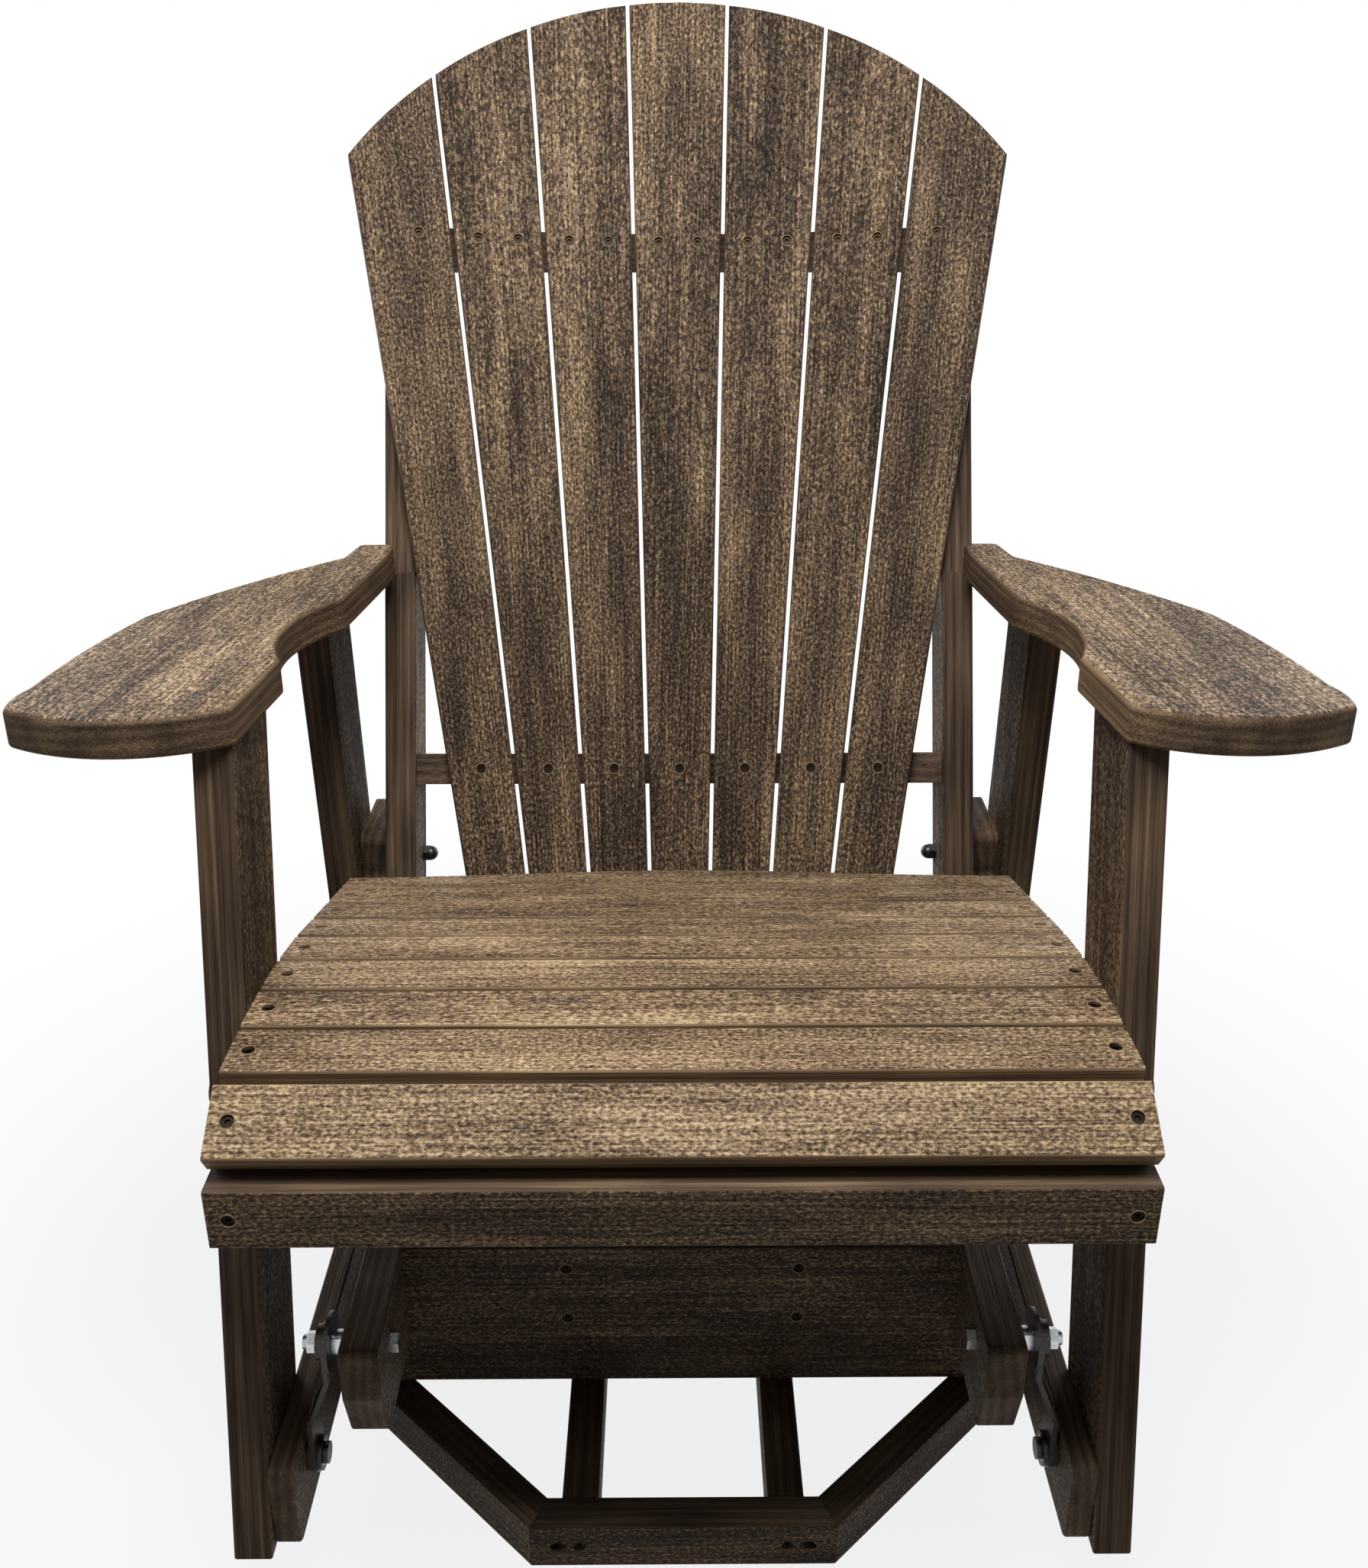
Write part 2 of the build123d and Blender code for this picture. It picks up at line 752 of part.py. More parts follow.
for side, hand in sides:
    with BuildPart() as seat_side:
        front = -apron_front + board_thickness
        slope = tan(radians(front_slat_slope))
        under_front = front_slat_height - slat_thickness / cos(radians(front_slat_slope))
        crest = crest_height - slat_thickness
        bend_end = seat_point(seat_bend_length, slat_thickness)
        with BuildSketch(side_plane(hand * seat_half_width)):
            with BuildLine():
                Polyline(
                    (front, under_front + (front + front_slat_reach) * slope),
                    (-front_slat_reach + (crest - under_front) / slope, crest),
                    (-crest_reach, crest),
                )
                ThreePointArc(
                    (-crest_reach, crest),
                    seat_point(seat_bend_length / 2, slat_thickness)[:2],
                    bend_end[:2],
                )
                FilletPolyline(
                    bend_end[:2],
                    (heel_start, bend_end[1] - (heel_start - bend_end[0]) * tan(radians(seat_fall))),
                    (heel_start, heel_top),
                    (heel_end, heel_top),
                    (heel_end, belly_height),
                    (heel_start, belly_height),
                    (front, apron_bottom),
                    radius=(foot_radius, foot_radius, heel_radius, heel_radius, belly_radius),
                )
                Line((front, apron_bottom), (front, under_front + (front + front_slat_reach) * slope))
            make_face()
        extrude(amount=-hand * board_thickness)
        drill(apron_places(), long_screw_length)
        for number in range(seat_slat_count):
            drill(seat_screw_places(number), short_screw_length)
        bore(front_bolt_places(), carriage_radius, leg_outer - side_inner)
        bore(rear_bolt_places(), carriage_radius, leg_outer - side_inner)
    finish(seat_side, f"seat_side_{side}")

with BuildPart() as apron:
    with BuildSketch(front_plane(-apron_front)):
        with Locations((0, apron_bottom + apron_height / 2)):
            Rectangle(2 * seat_half_width, apron_height)
    extrude(amount=-board_thickness)
    fillet(apron.edges().filter_by(Axis.X), edge_radius)
    drill(apron_places(), long_screw_length)
finish(apron, "apron")

for number in range(seat_slat_count):
    with BuildPart() as seat_slat:
        front = -seat_slat_width / 2
        with BuildSketch(seat_plane(number)):
            if number < seat_slat_count - 1:
                Rectangle(2 * seat_half_width, seat_slat_width)
            else:
                with BuildLine():
                    Polyline(
                        (-seat_half_width, front + rear_slat_end_width),
                        (-seat_half_width, front),
                        (seat_half_width, front),
                        (seat_half_width, front + rear_slat_end_width),
                    )
                    Spline(
                        (seat_half_width, front + rear_slat_end_width),
                        (rear_slat_knee, front + rear_slat_knee_width),
                        (0, front + rear_slat_middle_width),
                        (-rear_slat_knee, front + rear_slat_knee_width),
                        (-seat_half_width, front + rear_slat_end_width),
                    )
                make_face()
        extrude(amount=-slat_thickness)
        long_edges = seat_slat.edges().filter_by(lambda edge: edge.length > 2 * seat_slat_width)
        fillet(long_edges, slat_edge_radius)
        drill(seat_screw_places(number), short_screw_length)
    finish(seat_slat, f"seat_slat_{number + 1}")


# Back: slats fan out from the apex and cup round the sitter
def slat_length(plane, across, station):
    """Distance up a turned slat at which it reaches a station of the middle slat."""
    upward = Vector(0, run, rise)
    return (fan_start + station - across * plane.x_dir.dot(upward)) / plane.y_dir.dot(upward)


def slat_screw_places(place):
    """Two screws into the upper rail and one into the lower; the outer slats have one at each."""
    plane = fan_plane(place)
    spots = [(0, lower_rail_station)]
    if abs(place) < slats_each_side:
        spots += [(shift, upper_rail_station) for shift in (-back_screw_spread, back_screw_spread)]
    else:
        shift = -outer_screw_shift * place / slats_each_side
        spots.append((shift, upper_rail_station + outer_screw_rise))
    places = []
    for across, station in spots:
        origin = plane.from_local_coords((across, slat_length(plane, across, station), 0))
        places.append(Plane(origin, x_dir=plane.x_dir, z_dir=plane.z_dir))
    return places


def rail_tie_places():
    """Screws through the uprights into the lower rail's ends, and down through the upper rail."""
    down = Vector(0, run, rise)
    places = []
    for hand in (-1, 1):
        lower = (hand * side_inner, *upright_point(lower_rail_station, bolt_depth))
        upper = (
            hand * (side_inner + upright_inner) / 2,
            *upright_point(upright_top + back_rail_height, bolt_depth),
        )
        places.append(facing_place(lower, (hand, 0, 0)))
        places.append(facing_place(upper, tuple(down)))
    return places


def cut_slat_seats(places, low, high):
    """Cut away what stands in front of the slats' rear faces between two stations."""
    for place in places:
        plane = fan_plane(place, slat_thickness + pin_clearance)
        near = slat_length(plane, 0, low - cut_overrun)
        far = slat_length(plane, 0, high + cut_overrun)
        left = fan_top_pitch if place == -slats_each_side else cut_overrun / 2
        right = fan_top_pitch if place == slats_each_side else cut_overrun / 2
        with BuildSketch(plane) as facet:
            with BuildLine():
                Polyline(
                    (-near * fan_edge_slope - left, near),
                    (near * fan_edge_slope + right, near),
                    (far * fan_edge_slope + right, far),
                    (-far * fan_edge_slope - left, far),
                    close=True,
                )
            make_face()
        extrude(facet.sketch, amount=2 * upright_depth, mode=Mode.SUBTRACT)


def upright_plane(x):
    """Plane across X in line with the back: local x runs rearward, local y up the slope."""
    origin = (x, swivel_y + back_foot_reach, back_foot_height)
    return Plane(origin=origin, x_dir=(0, rise, -run), z_dir=(1, 0, 0))


fan_places = range(-slats_each_side, slats_each_side + 1)

for side, hand in sides:
    with BuildPart() as upright:
        with BuildSketch(upright_plane(hand * side_inner)):
            with Locations((upright_middle, (upright_top - upright_tail) / 2)):
                Rectangle(upright_depth, upright_top + upright_tail)
            fillet(vertices().group_by(Axis.Y)[0], upright_tail_radius)
        extrude(amount=-hand * board_thickness)
        # The slat that covers the upright's upper part lies in a step in its front edge
        step = upright_inner / (fan_taper * fan_half_count) - fan_start
        fillet(upright.faces().filter_by(Axis.X).edges().group_by(SortBy.LENGTH)[-1], edge_radius)
        cut_slat_seats([hand * slats_each_side], step, upright_top + back_rail_height)
        drill(rail_tie_places(), long_screw_length)
        bore(rear_bolt_places(), carriage_radius, leg_outer - upright_inner)
    finish(upright, f"upright_{side}")

for name, station, reach in (
    ("lower_back_rail", lower_rail_station, upright_inner),
    ("upper_back_rail", upper_rail_station, side_inner),
):
    with BuildPart() as back_rail:
        with BuildSketch(back_plane(upright_depth - upright_forward)):
            with Locations((0, station)):
                Rectangle(2 * reach, back_rail_height)
        extrude(amount=upright_depth)
        rear_edges = back_rail.edges().filter_by(Axis.X).sort_by(Axis.Y)[-2:]
        fillet(rear_edges, edge_radius)
        cut_slat_seats(fan_places, station - back_rail_height, station + back_rail_height)
        drill(rail_tie_places(), long_screw_length)
        for place in fan_places:
            drill(slat_screw_places(place), short_screw_length)
    finish(back_rail, name)

for place in fan_places:
    bottom = fan_start - fan_tail
    top = fan_start + fan_length + cut_overrun
    with BuildPart() as back_slat:
        with BuildSketch(fan_plane(place)):
            with BuildLine():
                Polyline(
                    (-bottom * fan_edge_slope + fan_slat_gap / 2, bottom),
                    (bottom * fan_edge_slope - fan_slat_gap / 2, bottom),
                    (top * fan_edge_slope - fan_slat_gap / 2, top),
                    (-top * fan_edge_slope + fan_slat_gap / 2, top),
                    close=True,
                )
            make_face()
        extrude(amount=-slat_thickness)
        with BuildSketch(back_plane(-upright_depth)):
            crown_foot = fan_length - crown_radius
            with BuildLine():
                Polyline(
                    (-crown_radius, crown_foot),
                    (-crown_radius, -2 * fan_tail),
                    (crown_radius, -2 * fan_tail),
                    (crown_radius, crown_foot),
                )
                ThreePointArc((crown_radius, crown_foot), (0, fan_length), (-crown_radius, crown_foot))
            make_face()
        extrude(amount=-2 * upright_depth, mode=Mode.INTERSECT)
        broad = back_slat.faces().sort_by(SortBy.AREA)[-2:]
        fillet(broad.edges(), slat_edge_radius)
        drill(slat_screw_places(place), short_screw_length)
    finish(back_slat, f"back_slat_{place + slats_each_side + 1}")

# Arms: a broad palm over the front leg, a shallow scallop inside, a narrow tail behind
# Outline points are shares of the arm's breadth, counted from its neck, and of its length.
front_shares = [(0.204, 0.056), (0.59, 0.0), (0.985, 0.05)]
tip_shares = [(0.985, 0.05), (1.0, 0.08), (0.979, 0.146)]
outer_shares = [(0.979, 0.146), (0.905, 0.38), (0.83, 0.512)]
back_shares = [(0.83, 0.512), (0.534, 0.718), (0.198, 0.898)]
tail_shares = [(0.198, 0.898), (0.165, 1.0), (0.0, 1.0), (0.0, 0.903), (0.07, 0.616)]
scallop_shares = [(0.07, 0.616), (0.224, 0.42), (0.155, 0.281)]
nose_shares = [(0.155, 0.281), (0.204, 0.056)]

for side, hand in sides:
    breadth = arm_outer - arm_neck

    def arm_points(shares):
        return [
            (hand * (arm_neck + across * breadth), along * arm_length - arm_front) for across, along in shares
        ]

    with BuildPart() as arm:
        with BuildSketch(top_plane(arm_top)):
            with BuildLine():
                for shares in (front_shares, tip_shares, outer_shares, back_shares, scallop_shares):
                    ThreePointArc(*arm_points(shares))
                Polyline(*arm_points(tail_shares))
                Polyline(*arm_points(nose_shares))
            make_face()
            fillet(vertices(), arm_corner_radius)
        extrude(amount=-board_thickness)
        broad = arm.faces().sort_by(SortBy.AREA)[-2:]
        fillet(broad.edges(), arm_edge_radius)
        drill(arm_screw_places(), arm_screw_length, pocket_screw_sink)
    finish(arm, f"arm_{side}")


# Fasteners of the chair
def add_carriage_bolts(places, grip):
    """Domed cap nuts on the far side, and the bolts with their low round heads."""
    nuts = [place.offset(-grip) for place in places]
    add_nut(nuts, cap_nut_radius, 0, -cap_nut_height)
    with Locations(*[place.offset(-cap_nut_height) for place in nuts]):
        Sphere(cap_nut_radius * cos(radians(30)))
    add_rod(nuts, carriage_radius + pin_clearance, -cap_nut_height, Mode.SUBTRACT)
    add_rod(places, carriage_head_radius, carriage_head_height)
    add_rod(places, carriage_radius, -grip - cap_nut_height / 2)


with BuildPart() as chair_bolts:
    add_carriage_bolts(front_bolt_places(), leg_outer - side_inner)
    add_carriage_bolts(rear_bolt_places(), leg_outer - upright_inner)
finish(chair_bolts, "chair_bolts")

with BuildPart() as deck_screws:
    for number in range(seat_slat_count):
        add_screws(seat_screw_places(number), short_screw_length)
    for place in fan_places:
        add_screws(slat_screw_places(place), short_screw_length)
    add_screws(leg_screw_places(), short_screw_length)
    add_screws(apron_places(), long_screw_length)
    add_screws(rail_tie_places(), long_screw_length)
    add_screws(arm_screw_places(), arm_screw_length, pocket_screw_sink)
finish(deck_screws, "deck_screws")

print("swivel axis y", round(swivel_y, 4))
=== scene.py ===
import json
import math

import bmesh
import bpy
import numpy as np
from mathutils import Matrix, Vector


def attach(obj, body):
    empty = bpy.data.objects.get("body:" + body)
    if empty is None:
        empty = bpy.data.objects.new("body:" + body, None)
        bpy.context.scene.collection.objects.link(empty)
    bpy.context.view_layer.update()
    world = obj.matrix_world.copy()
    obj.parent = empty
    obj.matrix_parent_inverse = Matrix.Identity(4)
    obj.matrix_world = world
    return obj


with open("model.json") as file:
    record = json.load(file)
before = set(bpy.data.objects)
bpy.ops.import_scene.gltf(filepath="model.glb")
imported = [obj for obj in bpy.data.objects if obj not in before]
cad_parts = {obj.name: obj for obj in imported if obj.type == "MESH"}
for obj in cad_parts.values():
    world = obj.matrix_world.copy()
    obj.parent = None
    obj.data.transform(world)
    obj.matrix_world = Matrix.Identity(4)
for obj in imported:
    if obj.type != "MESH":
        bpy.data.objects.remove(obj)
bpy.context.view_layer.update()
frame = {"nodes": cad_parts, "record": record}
nodes = frame["nodes"]
joints = frame["record"]["behaviour"]["joints"]
swivel = next(Vector(joint["pos_m"]) for joint in joints if joint["name"] == "swivel")
print("frame loaded", len(nodes), "nodes")


# Colours are sRGB hex codes of the real materials, some with painted light and shade in them
def linearRgb(code):
    channels = [int(code[start:start + 2], 16) / 255 for start in (0, 2, 4)]
    return [c / 12.92 if c <= 0.04045 else ((c + 0.055) / 1.055) ** 2.4 for c in channels] + [1.0]


# Adds a node with its settings, ramp colours and inputs, which are values or sockets to link
def addNode(tree, kind, inputs=None, stops=(), **settings):
    node = tree.nodes.new(kind)
    for name, value in settings.items():
        setattr(node, name, value)
    for place, (position, code) in enumerate(stops):
        elements = node.color_ramp.elements
        element = elements[place] if place < 2 else elements.new(position)
        element.position = position
        element.color = linearRgb(code)
    for key, value in (inputs or {}).items():
        if isinstance(value, bpy.types.NodeSocket):
            tree.links.new(value, node.inputs[key])
        else:
            node.inputs[key].default_value = value
    return node


def newMaterial(name):
    material = bpy.data.materials.new(name)
    material.use_nodes = True
    material.node_tree.nodes.clear()
    return material


# Poly lumber: moulded brown boards. Pebbled embossing on the broad faces, fine lines along the
# board and curved growth lines give the eye the look of stained wood. Lengths are in metres.
lumber = {
    # The palest colours come out on the pebbles' flecks, which are painted highlights on the bumps
    # as well as the surface's own mottling
    "colours": [
        (0.22, "110D0A"), (0.40, "30261E"), (0.53, "594839"), (0.66, "887155"), (0.84, "C3AB87"),
    ],
    "pebbleLength": 0.0034,
    "pebbleWidth": 0.0022,
    "pebbleNoise": {"Detail": 3.0, "Roughness": 0.62, "Distortion": 0.3},
    "lineLength": 0.12,
    "lineWidth": 0.0015,
    "lineNoise": {"Detail": 3.0, "Roughness": 0.6},
    "patchLength": 0.22,
    "patchWidth": 0.05,
    "patchNoise": {"Detail": 2.0, "Roughness": 0.55},
    "growthSpacing": 0.008,
    "growthStretch": 12.0,  # how much longer than wide a growth ring is
    "growthFlatness": 0.3,
    "growthNoise": {"Distortion": 5.0, "Detail": 2.0, "Detail Scale": 0.8},
    # Pebble flecks in the colour: partly the embossing's own mottling, partly painted highlights on
    # the bumps
    "pebbleMottleAndGlint": 1.1,
    "lineContrast": 0.55,
    "patchContrast": 0.26,
    "growthContrast": 0.05,
    "edgeLines": 0.6,  # share of the lines' contrast that the board edges show
    "edgeGrowth": 1.4,  # share of the growth lines' contrast there
    "faceTurn": (0.75, 0.95),  # how squarely a face looks out before it counts as a broad face
    "roughness": (0.48, 0.72),
    "roughnessTones": (0.3, 0.7),
    "sheen": 0.09,
    "emboss": 0.0007,
}
wavePeriod = 0.31  # spacing of Blender's wave rings at a scale of 1


def lumberGroup():
    group = bpy.data.node_groups.new("EmbossedGrain", "ShaderNodeTree")
    for name in ("Along", "Across", "Through", "Broad", "Tone"):
        group.interface.new_socket(name, in_out="INPUT", socket_type="NodeSocketFloat")
    for name, kind in (("Color", "Color"), ("Roughness", "Float"), ("Height", "Float")):
        group.interface.new_socket(name, in_out="OUTPUT", socket_type="NodeSocket" + kind)
    along, across, through, broad, tone = list(group.nodes.new("NodeGroupInput").outputs)[:5]
    place = addNode(group, "ShaderNodeCombineXYZ", {0: along, 1: across, 2: through}).outputs[0]

    # Noise drawn out to one length and width in metres
    def grain(length, width, noise):
        scaled = addNode(group, "ShaderNodeVectorMath", {
            0: place, 1: (1 / length, 1 / width, 1 / width)}, operation="MULTIPLY")
        return addNode(group, "ShaderNodeTexNoise", {
            "Vector": scaled.outputs[0], "Scale": 1.0, **noise}).outputs[0]

    # Adds a pattern round its middle value, so the tone stays
    def total(first, second, contrast):
        spread = addNode(group, "ShaderNodeMath", {
            0: second, 1: contrast, 2: -contrast / 2}, operation="MULTIPLY_ADD")
        return addNode(group, "ShaderNodeMath", {
            0: first, 1: spread.outputs[0]}, operation="ADD").outputs[0]

    pebbles = grain(lumber["pebbleLength"], lumber["pebbleWidth"], lumber["pebbleNoise"])
    lines = grain(lumber["lineLength"], lumber["lineWidth"], lumber["lineNoise"])
    patches = grain(lumber["patchLength"], lumber["patchWidth"], lumber["patchNoise"])
    clouds = grain(lumber["patchLength"] / 2, lumber["patchWidth"] / 2, {"Detail": 2.0})
    bent = addNode(group, "ShaderNodeVectorMath", {
        0: place, 1: (1 / lumber["growthStretch"], lumber["growthFlatness"], 1)},
        operation="MULTIPLY")
    growth = addNode(group, "ShaderNodeTexWave", {
        "Vector": bent.outputs[0], "Scale": wavePeriod / lumber["growthSpacing"],
        **lumber["growthNoise"],
    }, wave_type="RINGS", rings_direction="X", wave_profile="SIN").outputs[1]

    base = total(tone, patches, lumber["patchContrast"])
    base = total(base, clouds, lumber["patchContrast"] / 2)
    # The pebbles add their mottling and their painted highlights
    face = total(base, pebbles, lumber["pebbleMottleAndGlint"])
    face = total(face, lines, lumber["lineContrast"])
    face = total(face, growth, lumber["growthContrast"])
    edge = total(base, lines, lumber["edgeLines"] * lumber["lineContrast"])
    edge = total(edge, growth, lumber["edgeGrowth"] * lumber["growthContrast"])
    value = addNode(group, "ShaderNodeMix", {
        0: broad, 2: edge, 3: face}, data_type="FLOAT").outputs[0]
    color = addNode(group, "ShaderNodeValToRGB", {0: value}, stops=lumber["colours"]).outputs[0]
    smooth, rough = lumber["roughness"]
    darkTone, lightTone = lumber["roughnessTones"]
    roughness = addNode(group, "ShaderNodeMapRange", {
        0: value, 1: darkTone, 2: lightTone, 3: rough, 4: smooth}).outputs[0]
    pressed = addNode(group, "ShaderNodeMix", {
        0: broad, 2: lines, 3: pebbles}, data_type="FLOAT").outputs[0]
    ending = group.nodes.new("NodeGroupOutput")
    for socket, result in zip(ending.inputs, (color, roughness, pressed)):
        group.links.new(result, socket)
    return group


grainGroup = lumberGroup()
lumberMaterials = {}


# Share of 1 where a face looks along the board's thickness, from the normal's part that way
def broadShare(tree, facing):
    least, most = lumber["faceTurn"]
    size = addNode(tree, "ShaderNodeMath", {0: facing}, operation="ABSOLUTE").outputs[0]
    return addNode(tree, "ShaderNodeMapRange", {0: size, 1: least, 2: most}).outputs[0]


# Completes a lumber material from its place along, across and through the board
def finishLumber(tree, along, across, through, broad, tone):
    grain = addNode(tree, "ShaderNodeGroup", node_tree=grainGroup)
    for socket, value in zip(grain.inputs, (along, across, through, broad)):
        tree.links.new(value, socket)
    grain.inputs[4].default_value = tone
    bump = addNode(tree, "ShaderNodeBump", {
        "Distance": lumber["emboss"], "Height": grain.outputs[2]})
    shader = addNode(tree, "ShaderNodeBsdfPrincipled", {
        "Base Color": grain.outputs[0], "Roughness": grain.outputs[1],
        "Normal": bump.outputs[0], "Specular IOR Level": lumber["sheen"]})
    addNode(tree, "ShaderNodeOutputMaterial", {0: shader.outputs[0]})


# Lumber whose grain runs along one axis, for boards whose broad faces look along another
def lumberMaterial(alongAxis, throughAxis, tone):
    key = tuple(round(value, 2) for value in (*alongAxis, *throughAxis, tone))
    if key in lumberMaterials:
        return lumberMaterials[key]
    material = newMaterial(f"polyLumber{len(lumberMaterials) + 1:02d}")
    tree = material.node_tree
    coordinates = addNode(tree, "ShaderNodeTexCoord")
    axes = [alongAxis, throughAxis.cross(alongAxis), throughAxis]
    along, across, through = [
        addNode(tree, "ShaderNodeVectorMath", {
            0: coordinates.outputs["Object"], 1: tuple(axis)}, operation="DOT_PRODUCT").outputs[1]
        for axis in axes
    ]
    facing = addNode(tree, "ShaderNodeVectorMath", {
        0: coordinates.outputs["Normal"], 1: tuple(throughAxis)}, operation="DOT_PRODUCT")
    broad = broadShare(tree, facing.outputs[1])
    finishLumber(tree, along, across, through, broad, tone)
    lumberMaterials[key] = material
    return material


ring = {
    "boardTurn": math.radians(45),  # angle from each board of the ring to the next
    "grainShift": 0.73,  # metres between the grain of one board and the next
}


# Lumber whose grain follows the eight boards of the ring round the swivel axis
def ringMaterial(tone):
    material = newMaterial("polyLumberRing")
    tree = material.node_tree
    coordinates = addNode(tree, "ShaderNodeTexCoord")
    centred = addNode(tree, "ShaderNodeVectorMath", {
        0: coordinates.outputs["Object"], 1: tuple(swivel)}, operation="SUBTRACT").outputs[0]
    split = addNode(tree, "ShaderNodeSeparateXYZ", {0: centred})
    angle = addNode(tree, "ShaderNodeMath", {
        0: split.outputs[1], 1: split.outputs[0]}, operation="ARCTAN2")
    share = addNode(tree, "ShaderNodeMath", {
        0: angle.outputs[0], 1: ring["boardTurn"]}, operation="DIVIDE")
    board = addNode(tree, "ShaderNodeMath", {0: share.outputs[0]}, operation="ROUND").outputs[0]
    turn = addNode(tree, "ShaderNodeMath", {
        0: board, 1: -ring["boardTurn"]}, operation="MULTIPLY").outputs[0]
    place, normal = [
        addNode(tree, "ShaderNodeSeparateXYZ", {
            0: addNode(tree, "ShaderNodeVectorRotate", {"Vector": source, "Angle": turn},
                       rotation_type="Z_AXIS").outputs[0]})
        for source in (centred, coordinates.outputs["Normal"])
    ]
    along = addNode(tree, "ShaderNodeMath", {
        0: board, 1: ring["grainShift"], 2: place.outputs[1]}, operation="MULTIPLY_ADD")
    broad = broadShare(tree, normal.outputs[0])
    finishLumber(tree, along.outputs[0], place.outputs[2], place.outputs[0], broad, tone)
    return material


# Metals: light and dark of a fine mottled surface, roughness, and the mottling's scale
metals = {
    "brightZinc": ("CDD0D2", "B4B7BA", 0.24, 500),  # fresh plating, a soft broken gleam
    "bearingSteel": ("A9ACB0", "7D8185", 0.26, 1400),  # ground and oiled, even and greyer
    "coatedScrew": ("30281F", "15110D", 0.48, 1600),  # brown coating that hides in the lumber
    "plateZinc": ("A2A6A9", "74787B", 0.42, 500),  # weathered plate, dull with soft clouds
    "shadedZinc": ("4A4743", "2F2D2A", 0.40, 900),  # painted shade: the zinc darkened for the links and bolt heads that sit in shade, satin
}
metalSurface = {
    "mottling": (0.35, 0.65),
    "smoother": 0.08,
    "rougher": 0.09,
    "bump": 0.00001,
}


def metalMaterial(name):
    bright, dark, roughness, grainScale = metals[name]
    darkShare, brightShare = metalSurface["mottling"]
    material = newMaterial(name)
    tree = material.node_tree
    coordinates = addNode(tree, "ShaderNodeTexCoord")
    speckle = addNode(tree, "ShaderNodeTexNoise", {
        "Vector": coordinates.outputs["Object"], "Scale": grainScale,
        "Detail": 4.0, "Roughness": 0.6}).outputs[0]
    color = addNode(tree, "ShaderNodeValToRGB", {
        0: speckle}, stops=[(darkShare, dark), (brightShare, bright)])
    rough = addNode(tree, "ShaderNodeMapRange", {
        0: speckle, 3: roughness - metalSurface["smoother"],
        4: roughness + metalSurface["rougher"]})
    bump = addNode(tree, "ShaderNodeBump", {"Distance": metalSurface["bump"], "Height": speckle})
    shader = addNode(tree, "ShaderNodeBsdfPrincipled", {
        "Base Color": color.outputs[0], "Metallic": 1.0,
        "Roughness": rough.outputs[0], "Normal": bump.outputs[0]})
    addNode(tree, "ShaderNodeOutputMaterial", {0: shader.outputs[0]})
    return material


zinc, bearingSteel, coatedScrew, plateZinc, shadedZinc = [metalMaterial(name) for name in metals]

outlineAngle = math.radians(1)  # edges between flatter faces are only the mesh's own
faceSide = Vector((0.3, 0.5, 0.8))  # a board's two opposite faces count as one direction
grainSide = Vector((0.8, 0.5, 0.3))


# Direction of a board's longest edge and of its broadest face
def boardAxes(node):
    shape = bmesh.new()
    shape.from_mesh(node.data)
    longest, along = 0, Vector((1, 0, 0))
    for edge in shape.edges:
        outline = len(edge.link_faces) != 2 or edge.calc_face_angle(0) > outlineAngle
        if outline and edge.calc_length() > longest:
            longest = edge.calc_length()
            along = (edge.verts[1].co - edge.verts[0].co).normalized()
    areas = {}
    for face in shape.faces:
        normal = face.normal if face.normal.dot(faceSide) > 0 else -face.normal
        key = tuple(round(value, 2) for value in normal)
        areas[key] = areas.get(key, 0) + face.calc_area()
    shape.free()
    through = Vector(max(areas, key=areas.get)).normalized()
    if along.dot(grainSide) < 0:
        along = -along
    along = (along - through * along.dot(through)).normalized()
    return along, through


# Painted light and shade in each board's tone: the lit seat boards are the lightest, and the frames
# in shade under the seat are the darkest
lightAndShadeTones = {
    "seat_slat": 0.605,
    "apron": 0.52,
    "arm": 0.54,
    "back_slat": 0.485,
    "chair_rail": 0.49,
    "other": 0.47,
}


def lightAndShadeToneOf(name):
    tones = (tone for start, tone in lightAndShadeTones.items() if name.startswith(start))
    return next(tones, lightAndShadeTones["other"])


slots = {part["node"]: part["material_slot"] for part in frame["record"]["subparts"]}
for name, slot in slots.items():
    if name == "ring_boards":
        material = ringMaterial(lightAndShadeToneOf(name))
    elif slot == "hdpe_lumber":
        material = lumberMaterial(*boardAxes(nodes[name]), lightAndShadeToneOf(name))
    elif slot == "bearing_steel":
        material = bearingSteel
    elif name.endswith("screws"):
        material = coatedScrew
    # Links, lower pivot bolts and chair bolts get the zinc with painted shade
    elif name.startswith("swing_link") or name in ("chair_bolts", "lower_pivot_bolts"):
        material = shadedZinc
    else:
        material = plateZinc if "plate" in name else zinc
    nodes[name].data.materials.clear()
    nodes[name].data.materials.append(material)
print("materials", len(lumberMaterials), "lumber directions")


# Points of each separate solid of a CAD node, in a fixed order
def solidsOf(name):
    shape = bmesh.new()
    shape.from_mesh(nodes[name].data)
    bmesh.ops.remove_doubles(shape, verts=shape.verts, dist=1e-6)
    left = set(shape.verts)
    solids = []
    while left:
        found, ahead = [], [left.pop()]
        while ahead:
            vertex = ahead.pop()
            found.append(tuple(vertex.co))
            for edge in vertex.link_edges:
                other = edge.other_vert(vertex)
                if other in left:
                    left.remove(other)
                    ahead.append(other)
        solids.append(np.array(sorted(found)))
    shape.free()
    return sorted(solids, key=lambda points: tuple(points.mean(0)))


